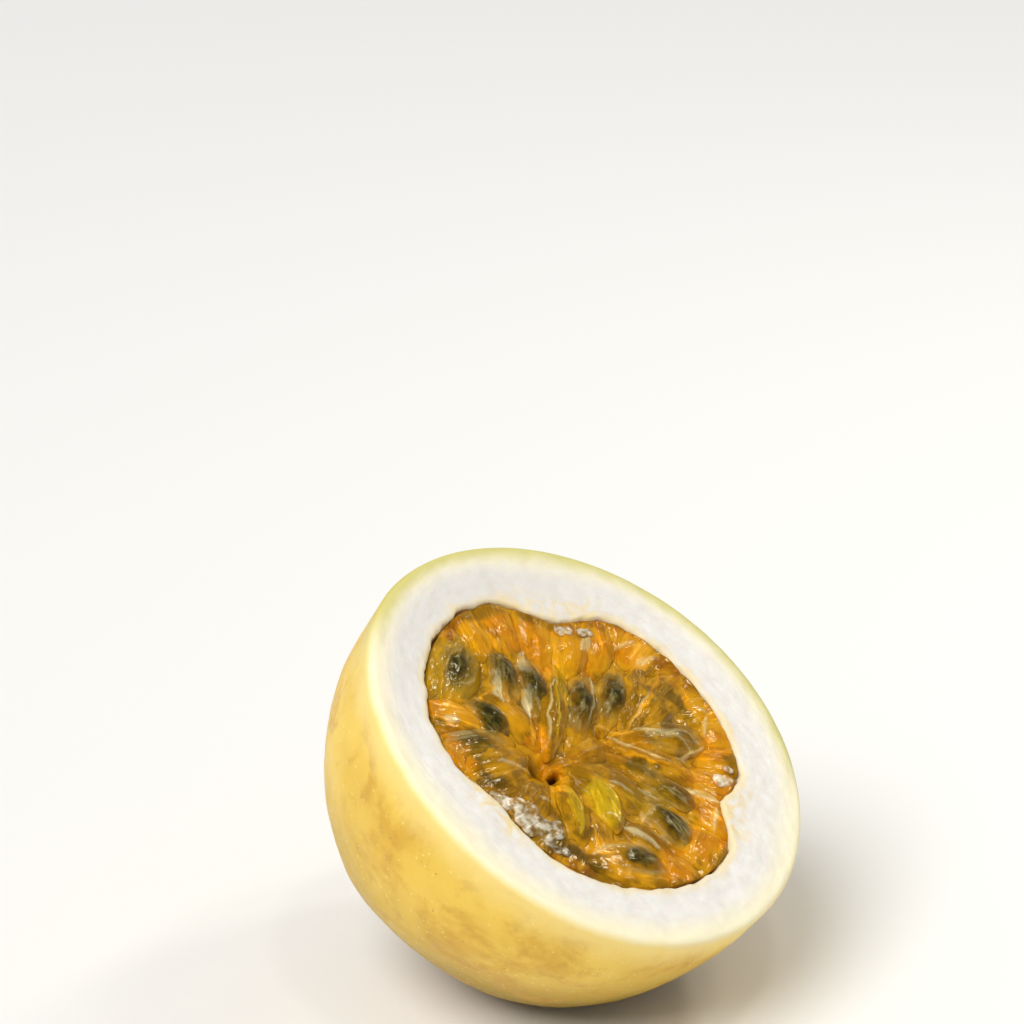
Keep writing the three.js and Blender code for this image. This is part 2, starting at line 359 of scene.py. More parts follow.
def roughen_rind(points, edge):
    """Moves the points: the skin is gently uneven, and the knife leaves the spongy pith rough."""
    radial = points.copy()
    radial[:, 2] *= (RIND_RADIUS / RIND_DEPTH) ** 2
    radial /= np.linalg.norm(radial, axis=1)[:, None]
    on_skin = smooth_step(-0.5, 2.5, edge)
    uneven = 0.28 * waves(points, 15, 2, seed=2) + 0.05 * waves(points, 3.5, 2, seed=3) - 0.15
    above_table = to_row(points)[:, 2] / MM
    plump = SKIN_PLUMPNESS * smooth_step(3, 15, edge) * smooth_step(8, 18, above_table)
    points += radial * (uneven * on_skin + plump)[:, None]

    on_face = smooth_step(0.5, -1.5, edge) * smooth_step(-11, CAVITY_EDGE, edge)
    spongy = 0.16 * waves(points, 5, 2, seed=4) + 0.1 * waves(points, 1.3, 3, seed=5)
    points[:, 2] += on_face * (spongy - 0.12)

    lumpy = smooth_step(CAVITY_EDGE, -10, edge) * 0.3 * waves(points, 2.5, 3, seed=6)
    from_axis = np.linalg.norm(points[:, :2], axis=1)
    points[:, :2] += points[:, :2] / (from_axis[:, None] + 1) * lumpy[:, None]


def scar_rind(points, edge):
    """Moves the points at the far end into a scar: a shallow dimple with a raised ring."""
    at_end = (edge > 0) & (points[:, 2] < -RIND_DEPTH / 2)
    away = np.where(at_end, np.hypot(points[:, 0], points[:, 1]), np.inf)
    radius, half_width, height = SCAR_RING
    points[:, 2] += SCAR_DEPTH * np.exp(-((away / SCAR_RADIUS) ** 2))
    points[:, 2] -= height * np.exp(-(((away - radius) / half_width) ** 2))


def make_rind():
    """The whole rind as one closed mesh: skin, rim, cut face, inner lip and cavity wall."""
    rings, edge = rind_rings()
    count = len(rings)
    ends = [[0, 0, -RIND_DEPTH], [CAVITY_SHIFT, 0, -CAVITY_DEPTH]]
    points = np.concatenate([*rings, ends])
    edge = np.concatenate([np.repeat(edge, AROUND), [FAR_FROM_EDGE, -FAR_FROM_EDGE]])
    roughen_rind(points, edge)
    scar_rind(points, edge)

    world = to_row(points)
    world[:, 2] = np.where(edge > 5, np.maximum(world[:, 2], 0), world[:, 2])
    faces = closed_rings(count, AROUND, count * AROUND, count * AROUND + 1)
    obj = mesh_object("rind_whole", world, faces)
    set_values(obj, "edge", edge)
    set_values(obj, "place", points)
    set_values(obj, "ridge", np.concatenate([np.tile(ridge_at(BEARINGS), count), [0, 0]]))
    return obj


def skin_colour(m, where, edge, wander, green_side):
    """Warm yellow, more olive towards the far end, with painted shade next to the table, tan blotches
    and fine pale and brown specks.
    """
    split = m.add("ShaderNodeSeparateXYZ", {0: where})
    y, z = split.outputs[1], split.outputs[2]
    sunny, golden = srgb(240, 203, 86), srgb(228, 188, 68)
    colour = m.mix(m.ramp(m.noise(where, 0.09, 2), 0.35, 0.7), sunny, golden)
    # Darker and more olive further down, towards the far end.
    low = m.ramp(m.math("ADD", z, m.math("MULTIPLY", m.noise(where, 0.12, 2), 8.0)), -8, -26)
    colour = m.mix(low, colour, srgb(196, 160, 30))
    # Painted shade: the skin is darkened to olive close to the table, standing in for the shade under
    # the fruit.
    height = m.math("ADD", m.math("MULTIPLY", z, OUT.z), m.math("MULTIPLY", y, UPHILL.z))
    above_table = m.math("ADD", height, FRUIT.translation.z / MM)
    colour = m.mix(m.ramp(above_table, 15, 1.5, 0.0, 0.9), colour, srgb(146, 120, 0))

    stained = m.noise(m.scaled(where, (0.9, 0.9, 1.1)), 0.11, 5, 0.6, 0.4)
    colour = m.mix(m.ramp(stained, 0.46, 0.66, 0.0, 0.65), colour, srgb(208, 158, 44))
    mottle = m.ramp(m.noise(where, 0.5, 3, 0.6), 0.45, 0.68)
    mottle = m.math("MULTIPLY", m.ramp(stained, 0.44, 0.6), mottle)
    colour = m.mix(m.math("MULTIPLY", mottle, 0.35), colour, srgb(190, 136, 40))
    pale = m.ramp(m.cells(where, 0.75), 0.16, 0.06, 0.0, 0.55)
    colour = m.mix(pale, colour, srgb(250, 228, 150))
    brown = m.ramp(m.cells(m.scaled(where, (1, 1.3, 0.8)), 0.4), 0.09, 0.03, 0.0, 0.5)
    colour = m.mix(brown, colour, srgb(165, 120, 45))

    by_rim = m.mix(green_side, srgb(248, 222, 136), srgb(198, 188, 88))
    return m.mix(m.ramp(m.math("ADD", edge, wander), 6.5, 0.8, 0.0, 0.85), colour, by_rim)


def pith_colour(m, where, edge, wander, green_side):
    """White with a faint mottle, greyer towards the far side as painted shade, creamy or green next to
    the skin and yellow at the ridges.
    """
    y = m.add("ShaderNodeSeparateXYZ", {0: where}).outputs[1]
    cloudy = m.ramp(m.noise(where, 0.5, 4, 0.6), 0.3, 0.7)
    colour = m.mix(cloudy, srgb(232, 227, 221), srgb(240, 237, 232))
    colour = m.mix(m.ramp(m.cells(where, 0.9), 0.5, 0.9, 0.0, 0.15), colour, srgb(228, 216, 204))
    # Painted shade: the cut face turns greyer towards its far, uphill side.
    colour = m.mix(m.ramp(y, 4, 26, 0.0, 0.7), colour, srgb(218, 214, 209))

    inwards = m.math("ADD", edge, m.math("MULTIPLY", wander, 0.35))
    colour = m.mix(m.ramp(inwards, -5.0, -0.8), colour, srgb(249, 240, 208))
    green_rim = m.math("MULTIPLY", m.ramp(inwards, -3.2, -0.6), m.ramp(green_side, 0.1, 0.8))
    colour = m.mix(m.math("MULTIPLY", green_rim, 0.9), colour, srgb(206, 199, 116))

    stain = m.math("MULTIPLY", m.ramp(m.value("ridge"), 0.5, 2.0), m.ramp(edge, -5.0, -7.8))
    stain = m.math("MULTIPLY", stain, m.ramp(m.noise(where, 0.5, 4, 0.6, 1.2), 0.4, 0.66))
    colour = m.mix(m.math("MULTIPLY", stain, 0.7), colour, srgb(238, 208, 126))
    inner = m.ramp(m.math("ADD", edge, wander), -7.2, -9.2, 0.0, 0.75)
    return m.mix(inner, colour, srgb(238, 214, 158))


def rind_material():
    """Waxy skin and spongy pith in one material, which changes over along the rim."""
    m = Nodes("rind")
    where = m.vector("place")
    edge = m.value("edge")
    split = m.add("ShaderNodeSeparateXYZ", {0: where})
    green_side = m.ramp(m.math("ADD", split.outputs[0], split.outputs[1]), -10, 26)
    wander = m.math("MULTIPLY", m.math("SUBTRACT", m.noise(where, 0.3, 3), 0.5), 3.0)
    skin = skin_colour(m, where, edge, wander, green_side)
    pith = pith_colour(m, where, edge, wander, green_side)
    is_skin = m.ramp(m.math("ADD", edge, m.math("MULTIPLY", wander, 0.3)), -0.9, 1.4)
    m.set(Base_Color=m.mix(is_skin, pith, skin))

    waxy = m.ramp(m.noise(where, 0.7, 3), 0.3, 0.7, 0.36, 0.48)
    m.set(Roughness=m.math("ADD", m.math("MULTIPLY", m.math("SUBTRACT", waxy, 0.7), is_skin), 0.7))
    m.set(Subsurface_Weight=0.35, Subsurface_Radius=(1.0, 0.7, 0.4), Subsurface_Scale=1.6 * MM)
    m.set(IOR=1.42)
    pits = m.ramp(m.cells(where, 1.1), 0.0, 0.5)
    grain = m.math("ADD", m.math("MULTIPLY", pits, 0.5), m.noise(where, 1.6, 3))
    sponge = m.noise(where, 2.4, 5, 0.65)
    m.set(Normal=m.bump(m.mix(is_skin, sponge, grain), 0.32, 0.12))
    return m.material


# ---------------------------------------------------------------- the pulp's colours
PULP_COLOURS = {
    "olive": srgb(142, 100, 4),
    "green": srgb(96, 78, 8),
    "dark": srgb(66, 50, 4),
    "lemon": srgb(190, 156, 20),
    "gold": srgb(212, 146, 6),
    "orange": srgb(200, 127, 2),
    "peach": srgb(230, 164, 44),
    "amber": srgb(162, 107, 3),
    "rust": srgb(150, 93, 0),
    "painted_hollow_shade": srgb(58, 22, 0),
    "cream": srgb(228, 206, 142),
    "shell": srgb(218, 206, 158),
}

# Patches of colour: middle, half length, half width, bearing in degrees, colour, strength.
# The first lie under the later ones.
PATCHES = [
    (-12.0, 15.5, 6.5, 4.0, 35, "lemon", 0.35),
    (-18.0, 12.6, 1.6, 1.2, 35, "orange", 0.9),
    (-6.8, 20.8, 2.8, 0.9, 18, "rust", 1.0),
    (-3.6, 18.2, 3.6, 2.6, -20, "gold", 1.0),
    (1.2, 17.4, 2.8, 3.2, 10, "orange", 1.0),
    (-1.4, 18.0, 0.5, 2.2, 10, "amber", 0.8),
    (4.2, 14.4, 3.8, 2.6, -35, "orange", 1.0),
    (6.0, 11.2, 4.6, 2.6, 8, "gold", 1.0),
    (2.4, 11.6, 3.2, 1.4, 45, "orange", 0.8),
    (13.5, 12.6, 4.4, 3.2, -28, "amber", 0.95),
    (15.4, 12.4, 2.0, 1.0, -45, "rust", 0.8),
    (11.2, 9.3, 4.0, 1.8, 24, "orange", 0.9),
    (17.0, 7.6, 3.4, 3.0, -30, "orange", 0.95),
    (18.0, 6.0, 2.6, 1.4, 20, "peach", 0.8),
    (19.6, 2.0, 1.6, 3.4, 5, "rust", 0.9),
    (14.6, -1.2, 3.4, 2.4, -35, "green", 0.45),
    (12.2, -5.0, 4.4, 1.5, -15, "dark", 0.45),
    (19.6, -5.0, 1.8, 4.4, 8, "gold", 0.9),
    (16.4, -7.4, 2.4, 1.8, 30, "gold", 0.6),
    (15.6, -10.0, 4.6, 1.9, 20, "orange", 0.95),
    (11.0, -12.6, 2.8, 3.6, 50, "orange", 0.95),
    (14.6, -15.6, 2.2, 0.9, 28, "rust", 0.9),
    (7.6, -8.6, 1.5, 3.0, 35, "amber", 0.6),
    (3.6, -3.0, 2.6, 3.8, 40, "amber", 0.75),
    (3.6, -7.0, 1.6, 2.8, 35, "green", 0.7),
    (7.8, -16.4, 3.0, 3.6, 0, "orange", 0.95),
    (5.6, -13.6, 0.8, 2.0, 30, "rust", 0.7),
    (3.0, -19.0, 4.6, 2.4, 15, "orange", 1.0),
    (6.0, -17.8, 2.0, 0.8, 40, "peach", 0.6),
    (-4.2, -19.4, 3.6, 2.2, 10, "orange", 1.0),
    (-3.6, -16.4, 0.9, 2.2, 20, "rust", 0.6),
    (-11.4, -15.0, 4.6, 3.0, -33, "gold", 0.95),
    (-8.0, -15.8, 1.6, 1.2, -20, "shell", 0.25),
    (-17.0, -12.4, 4.2, 1.9, -42, "dark", 0.75),
    (-18.4, -12.6, 2.8, 0.7, -50, "rust", 0.9),
    (-16.6, -8.2, 3.4, 2.2, -10, "green", 0.4),
    (-15.8, 10.2, 3.0, 2.2, -30, "gold", 1.0),
    (-19.2, 9.0, 1.6, 1.2, 10, "rust", 0.8),
    (-20.4, 6.0, 1.9, 2.8, -10, "orange", 1.0),
    (-12.0, 8.0, 1.3, 2.4, -20, "green", 0.8),
    (-17.6, 5.0, 2.0, 1.3, 30, "green", 0.8),
    (-20.0, 1.4, 2.8, 1.2, -30, "dark", 0.7),
    (-8.2, 7.6, 1.6, 3.0, -15, "gold", 0.6),
    (-12.0, 4.0, 4.0, 1.6, -35, "peach", 0.3),
    (-7.6, 2.6, 1.3, 3.0, -35, "orange", 0.85),
    (-8.6, -1.4, 1.7, 2.0, 35, "orange", 0.95),
    (-4.0, -1.2, 4.2, 1.2, -15, "amber", 0.75),
    (0.0, 2.2, 5.2, 0.9, 44, "amber", 0.5),
    (-10.4, -3.9, 1.4, 0.9, -5, "gold", 0.9),
    (-1.4, 12.0, 4.2, 0.9, 48, "amber", 0.6),
    (-6.6, -8.4, 1.8, 3.8, -25, "lemon", 0.95),
    (-12.4, -8.8, 1.2, 2.6, -35, "dark", 0.4),
    (-11.6, -6.6, 0.7, 3.6, -35, "lemon", 0.6),
    (1.8, 6.6, 4.8, 0.6, 44, "lemon", 0.5),
    (-0.4, -11.0, 4.2, 2.6, -20, "lemon", 0.25),
]

# Pale streaks and thin membranes, partly painted highlights: start, end, width, bow, colour, strength.
STREAKS = [
    ((-8.6, 9.4), (-5.4, 13.4), 1.0, 0.3, "shell", 0.8),
    ((-6.2, 11.6), (-3.0, 15.4), 0.6, -0.3, "cream", 0.8),
    ((-6.6, 5.2), (-3.0, 9.8), 1.3, 0.3, "shell", 0.8),
    ((-1.8, 11.2), (1.2, 14.2), 1.3, 0.2, "shell", 0.8),
    ((-2.6, 4.0), (4.4, 10.4), 0.5, 0.4, "lemon", 0.9),
    ((-6.6, 2.0), (1.8, 9.0), 0.4, 0.5, "cream", 0.7),
    ((-5.0, 2.2), (2.6, 8.6), 0.35, 0.0, "lemon", 0.9),
    ((1.8, 2.0), (8.2, 7.2), 0.6, -0.3, "shell", 0.9),
    ((4.4, 1.0), (9.4, 3.8), 0.35, 0.4, "cream", 0.5),
    ((-8.4, 2.6), (-6.4, 5.8), 0.8, 0.1, "peach", 0.8),
    ((2.6, 1.2), (7.2, -8.6), 0.8, -1.4, "gold", 0.9),
    ((3.0, 0.8), (8.2, -8.8), 0.4, -0.8, "cream", 0.6),
    ((5.2, -1.4), (19.2, 3.4), 0.7, -0.6, "gold", 0.9),
    ((6.4, -1.4), (13.6, 1.4), 0.3, -0.2, "cream", 0.6),
    ((2.4, 1.4), (6.6, -2.2), 0.7, -0.3, "peach", 0.8),
    ((6.8, -1.8), (12.6, -9.0), 0.6, 0.9, "cream", 0.55),
    ((7.6, -3.0), (12.2, -6.4), 1.2, 0.3, "shell", 0.35),
    ((10.2, -4.8), (14.6, -8.2), 0.7, 0.8, "cream", 0.5),
    ((9.0, -7.6), (15.0, -8.6), 0.5, -0.5, "cream", 0.7),
    ((6.6, -11.6), (9.6, -16.0), 1.1, 0.4, "cream", 0.95),
    ((8.7, -9.4), (11.6, -12.8), 1.2, 0.2, "peach", 0.9),
    ((12.0, -13.4), (13.6, -13.6), 1.8, 0.1, "shell", 0.8),
    ((-6.8, -12.0), (-4.8, -17.0), 1.1, 0.3, "shell", 0.7),
    ((-9.4, -4.0), (-14.2, -10.0), 0.6, 0.7, "lemon", 0.9),
    ((-10.0, -5.0), (-11.4, -8.0), 0.6, 0.2, "peach", 0.5),
    ((-4.4, -5.2), (-8.2, -12.0), 0.5, 1.2, "lemon", 0.9),
    ((-8.1, -9.6), (-7.0, -11.8), 0.7, 0.1, "cream", 0.8),
    ((-3.8, -6.0), (-1.6, -9.0), 0.5, 0.1, "shell", 0.5),
    ((0.0, -8.4), (1.8, -11.6), 0.6, 0.1, "shell", 0.5),
    ((-3.4, -12.8), (1.8, -12.2), 0.6, 0.4, "cream", 0.6),
    ((-3.6, -14.4), (-1.8, -16.8), 0.6, 0.2, "shell", 0.4),
    ((1.6, -14.6), (3.4, -15.8), 1.2, 0.2, "shell", 0.5),
    ((-16.8, 3.0), (-13.0, 0.6), 0.7, 0.2, "shell", 0.6),
    ((-14.2, 1.6), (-11.6, -0.4), 0.7, 0.2, "shell", 0.5),
    ((-15.2, -3.4), (-12.6, -4.8), 0.6, 0.1, "shell", 0.5),
    ((-17.6, 11.4), (-13.6, 8.2), 0.8, 0.6, "peach", 0.6),
    ((-18.6, 11.2), (-17.0, 9.6), 0.9, 0.1, "shell", 0.7),
    ((-16.4, 13.6), (-7.0, 12.0), 0.5, -1.4, "gold", 0.8),
    ((-17.0, 12.8), (-6.2, 18.0), 0.5, 1.6, "gold", 0.8),
    ((-13.8, 15.0), (-7.4, 18.2), 0.4, 0.9, "cream", 0.6),
    ((-13.4, 14.4), (-7.8, 15.0), 0.4, -1.2, "cream", 0.5),
    ((14.6, 8.4), (18.8, 8.0), 0.7, 0.4, "cream", 0.6),
    ((16.2, 5.6), (19.4, 4.6), 0.9, 0.3, "shell", 0.5),
    ((9.2, 10.4), (12.4, 11.6), 1.1, 0.2, "shell", 0.7),
    ((12.6, 10.2), (15.4, 8.6), 0.6, 0.3, "peach", 0.6),
    ((3.8, 12.6), (8.0, 12.2), 1.0, 0.2, "peach", 0.7),
    ((0.2, 18.6), (1.6, 17.6), 0.8, 0.1, "peach", 0.6),
    ((-4.6, 19.8), (-3.4, 18.2), 0.7, 0.1, "peach", 0.5),
    ((16.4, -7.4), (19.4, -5.4), 0.6, 0.2, "cream", 0.6),
    ((18.8, -3.2), (19.8, -5.4), 0.5, 0.2, "cream", 0.6),
    ((5.2, -18.8), (8.4, -16.2), 0.7, 0.2, "cream", 0.7),
    ((0.6, -18.4), (3.4, -18.0), 0.7, 0.2, "peach", 0.5),
    ((-5.6, -19.4), (-3.6, -18.8), 0.8, 0.1, "peach", 0.45),
    ((-14.4, -12.8), (-10.0, -13.6), 0.6, 0.4, "cream", 0.5),
    ((-9.6, -15.0), (-6.6, -16.2), 1.1, 0.3, "shell", 0.5),
]

# The hollows where the sacs meet, dug in and darkened with painted shade: middle, half length, half
# width, bearing in degrees, depth.
HOLLOWS = [
    (-10.1, 0.3, 1.7, 0.9, 51, 1.7),
    (-8.7, -2.2, 1.2, 0.8, 20, 1.7),
]


def ellipse_distance(points, middle, half_length, half_width, bearing):
    """How far each point is from a level ellipse's middle, as a share of the way to its edge."""
    away = points[:, :2] - middle
    along = (away[:, 0] * math.cos(bearing) + away[:, 1] * math.sin(bearing)) / half_length
    aside = (away[:, 1] * math.cos(bearing) - away[:, 0] * math.sin(bearing)) / half_width
    return np.hypot(along, aside)


def hollow_distances(points):
    """For each hollow in turn, how far each point is from its middle, as a share, and its depth."""
    ragged = 0.3 * waves(points * (1, 1, 0), 1.1, 2, seed=23)
    for x, y, half_length, half_width, bearing, depth in HOLLOWS:
        away = ellipse_distance(points, (x, y), half_length, half_width, math.radians(bearing))
        yield np.maximum(away + ragged, 0), depth


def streak_shares(points, frayed):
    """For each streak in turn, its colour's name and how strongly it shows at each point."""
    for start, end, width, bow, name, strength in STREAKS:
        start, run = np.array(start), np.array(end) - np.array(start)
        length = np.linalg.norm(run)
        run = run / length
        along = (points[:, :2] - start) @ run / length
        inside = np.clip(along, 0, 1)
        aside = (points[:, :2] - start) @ np.array([-run[1], run[0]]) - bow * np.sin(np.pi * inside)
        half = width / 2 * (np.sin(np.pi * inside) ** 0.5 + 0.05) * (1 + 0.6 * frayed)
        across = smooth_step(1.3, 0.4, np.abs(aside) / np.maximum(half, 0.05))
        ends = smooth_step(-0.03, 0.05, along) * smooth_step(1.03, 0.95, along)
        yield name, strength * across * ends


def pulp_colour(points):
    """The flesh's colour at each point, with painted shade in the hollows and pale streaks that are
    partly painted highlights, in linear light with alpha, and how raised its streaks are.
    """
    sway = np.stack([waves(points, 2.4, 3, seed=21), waves(points, 2.4, 3, seed=22)], axis=1)
    bent = points[:, :2] + 0.9 * sway
    colour = np.tile(PULP_COLOURS["olive"], (len(points), 1))
    for x, y, half_length, half_width, bearing, name, strength in PATCHES:
        away = ellipse_distance(bent, (x, y), half_length, half_width, math.radians(bearing))
        share = strength * smooth_step(1.3, 0.75, away)
        colour += (np.array(PULP_COLOURS[name]) - colour) * share[:, None]
    raised = np.zeros(len(points))
    wavy = np.column_stack([points[:, :2] + 0.35 * sway, points[:, 2]])
    # Pale streaks, partly painted highlights, also raised a little so that they catch the light.
    for name, share in streak_shares(wavy, sway[:, 1]):
        colour += (np.array(PULP_COLOURS[name]) - colour) * (0.8 * share)[:, None]
        raised = np.maximum(raised, share)
    # Painted shade: the hollows are darkened almost to black.
    for away, _ in hollow_distances(points):
        share = smooth_step(1.2, 0.7, away)
        colour += (np.array(PULP_COLOURS["painted_hollow_shade"]) - colour) * share[:, None]
    return colour, raised


def marbled(m, colour, grain):
    """Pale and dark clouds, and fine pale streaks along the grain."""
    cloud = m.noise(m.scaled(grain, (0.35, 0.8, 0.8)), 1.0, 4, 0.6, 0.5)
    colour = m.mix(m.ramp(cloud, 0.5, 0.72, 0.0, 0.6), colour, (1.5, 1.4, 1.3, 1), "MULTIPLY")
    murk = m.noise(m.scaled(grain, (0.3, 1.0, 1.0)), 1.0, 4, 0.65, 0.5)
    colour = m.mix(m.ramp(murk, 0.5, 0.68, 0.0, 0.7), colour, (0.55, 0.5, 0.4, 1), "MULTIPLY")
    flow = m.noise(m.scaled(grain, (0.14, 1.2, 1.2)), 1.0, 4, 0.65, 0.25)
    return m.mix(m.ramp(flow, 0.53, 0.66, 0.0, 0.75), colour, (1.7, 1.7, 1.9, 1), "MULTIPLY")


def membrane_highlight_and_shade(m, colour, where):
    """Painted highlight along the thin membrane edges, and painted shade in the deep crease beside
    them.
    """
    proud = m.math("ADD", m.value("proud"), m.math("MULTIPLY", m.noise(where, 1.2, 3), 0.2))
    # Painted highlight: a gold band where the sacs' sides stand a little proud.
    lit = m.math("MULTIPLY", m.ramp(proud, 0.1, 0.25), m.ramp(proud, 0.45, 0.3))
    patchy = m.noise(where, 0.28, 3)
    lit = m.math("MULTIPLY", lit, m.ramp(patchy, 0.45, 0.6, 0.0, 0.6))
    colour = m.mix(lit, colour, srgb(216, 156, 20))
    # Painted shade: the low crease between the sacs is darkened.
    painted_crease_shade = m.math("MULTIPLY", m.ramp(proud, 0.2, 0.06), m.ramp(patchy, 0.56, 0.44, 0.05, 0.7))
    return m.mix(painted_crease_shade, colour, (0.6, 0.52, 0.38, 1), "MULTIPLY")


def seeded(m, colour, where, grain):
    """A seed shows through the flesh, dark in the middle, with pale wisps of flesh and painted
    reflection across it.
    """
    wander = m.math("MULTIPLY", m.math("SUBTRACT", m.noise(where, 0.6, 2, 0.5), 0.5), 1.1)
    seed = m.math("ADD", m.value("seed"), wander)
    halo = m.math("MULTIPLY", m.ramp(seed, 2.0, 1.5), m.ramp(seed, 1.1, 1.4))
    colour = m.mix(m.math("MULTIPLY", halo, 0.12), colour, srgb(206, 176, 90))
    body = m.mix(m.ramp(m.noise(where, 0.9, 2), 0.42, 0.62), srgb(32, 30, 3), srgb(72, 64, 10))
    shows = m.math("MULTIPLY", m.ramp(seed, 1.95, 0.4, 0.0, 0.96), m.value("clarity"))
    colour = m.mix(shows, colour, body)
    # Pale wisps over the seed, partly painted reflection.
    veil = m.noise(m.scaled(grain, (0.16, 1.1, 1.1)), 1.0, 4, 0.6, 0.4)
    veil = m.math("MULTIPLY", m.ramp(veil, 0.5, 0.68, 0.0, 0.48), m.ramp(seed, 2.4, 0.9))
    return m.mix(veil, colour, srgb(176, 164, 112))


def pulp_material(name, rough, relief):
    """Wet flesh, coloured by what dress() stores."""
    m = Nodes(name)
    grain = m.vector("grain")
    where = m.vector("place")
    colour = m.add("ShaderNodeAttribute", attribute_name="paint").outputs["Color"]
    colour = marbled(m, colour, grain)
    colour = membrane_highlight_and_shade(m, colour, where)
    colour = seeded(m, colour, where, grain)
    m.set(Base_Color=colour, IOR=1.3, Specular_Tint=(1.0, 0.9, 0.68, 1.0))
    m.set(Roughness=m.ramp(m.noise(where, 0.9, 2), 0.35, 0.65, rough, rough + 0.09))
    m.set(Subsurface_Weight=0.15, Subsurface_Radius=(1.0, 0.5, 0.1), Subsurface_Scale=1.0 * MM)
    fine = m.noise(m.scaled(grain, (0.35, 1.0, 1.0)), 1.0, 2, 0.5)
    m.set(Normal=m.bump(fine, 0.6, relief))
    return m.material


def dress(obj, colour, grain, place, proud, seed=None, clarity=1.0):
    """Stores what pulp_material reads; a piece without a seed keeps far from one."""
    data = obj.data.attributes.new("paint", "FLOAT_COLOR", "POINT").data
    data.foreach_set("color", np.asarray(colour, dtype=np.float32).ravel())
    set_values(obj, "grain", grain)
    set_values(obj, "place", place)
    set_values(obj, "proud", proud)
    set_values(obj, "seed", np.full(len(place), 9.0) if seed is None else seed)
    set_values(obj, "clarity", np.full(len(place), clarity))


# ---------------------------------------------------------------- seed sacs
SAC_VOXEL = 0.2
SAC_SWELL = 0.17  # closes the gap round a seed's pocket before the remesh
SAC_GROWTH = 0.34  # closes the gap to the neighbours
TOPS_SMOOTHING = 14  # how often the height of the sacs' tops is evened out
RELIEF_KEPT = 0.48  # how far the sacs' tops still stand out from one another
RELIEF_DEPTH = 1.2  # only the tops are pressed, down to this depth below them
STREAK_HEIGHT = 0.16
JUICE_DEPTH = 0.22  # how far the juice lies below the sacs' common surface
SEED_HALVES = (2.6, 1.5)
SEED_SIGHT = 3.2  # how deep a seed darkens the flesh
SEED_CLARITY = {"sac_09": 0.3, "sac_13": 0.7, "sac_23": 0.6}  # those that show less than fully
WALL_TOP = -0.45  # the height of the pulp where it meets the wall
WALL_STRETCH = 0.06  # how much the outer flesh is stretched towards the wall
WALL_SHARE = 0.992  # and how far it may get, as a share of the way
HEART = np.array([-9.6, -1.0])  # where the long sacs meet


def hollow_depth(points):
    dips = [depth * np.exp(-(away**3)) for away, depth in hollow_distances(points)]
    return np.max(dips, axis=0)


def remeshed(name, points, faces, voxel, swell, smoothing):
    """An evenly meshed, softened copy of some closed bodies, swollen first so that they join."""
    obj = mesh_object(name, points, faces)
    bm = bmesh.new()
    bm.from_mesh(obj.data)
    bmesh.ops.remove_doubles(bm, verts=bm.verts, dist=0.001)
    bm.to_mesh(obj.data)
    bm.free()
    displace = obj.modifiers.new("swell", "DISPLACE")
    displace.strength = swell
    displace.mid_level = 0
    remesh = obj.modifiers.new("remesh", "REMESH")
    remesh.mode = "VOXEL"
    remesh.voxel_size = voxel
    soften = obj.modifiers.new("soften", "SMOOTH")
    soften.factor = 0.5
    soften.iterations = smoothing
    bpy.context.view_layer.update()
    ready = obj.evaluated_get(bpy.context.evaluated_depsgraph_get())
    mesh = bpy.data.meshes.new_from_object(ready)
    bpy.data.objects.remove(obj)
    mesh.name = name
    return mesh


def normals_of(mesh):
    normals = np.empty(len(mesh.vertices) * 3)
    mesh.vertices.foreach_get("normal", normals)
    return normals.reshape(-1, 3)


def faces_of(mesh):
    return [tuple(p.vertices) for p in mesh.polygons]


def long_axis(points):
    """The middle of some points, and the level direction they stretch furthest along, outwards."""
    centre = (points.min(0) + points.max(0)) / 2
    spread = points[:, :2] - points[:, :2].mean(0)
    axis = np.linalg.eigh(spread.T @ spread)[1][:, 1]
    if axis @ (centre[:2] - HEART) < 0:
        axis = -axis
    return centre, np.array([axis[0], axis[1], 0.0])


def spread_to_wall(co):
    """Stretches the outer flesh out to the cavity's wall."""
    x, y = co[:, 0] - CAVITY_SHIFT, co[:, 1]
    share = np.hypot(x, y) / (CAVITY_RADIUS - ridge_at(np.arctan2(y, x)))
    stretched = share * (1 + WALL_STRETCH * smooth_step(0.6, 0.9, share))
    wanted = np.minimum(stretched, np.maximum(share, WALL_SHARE))
    factor = wanted / np.maximum(share, 0.01)
    return np.column_stack([CAVITY_SHIFT + x * factor, y * factor, co[:, 2]])


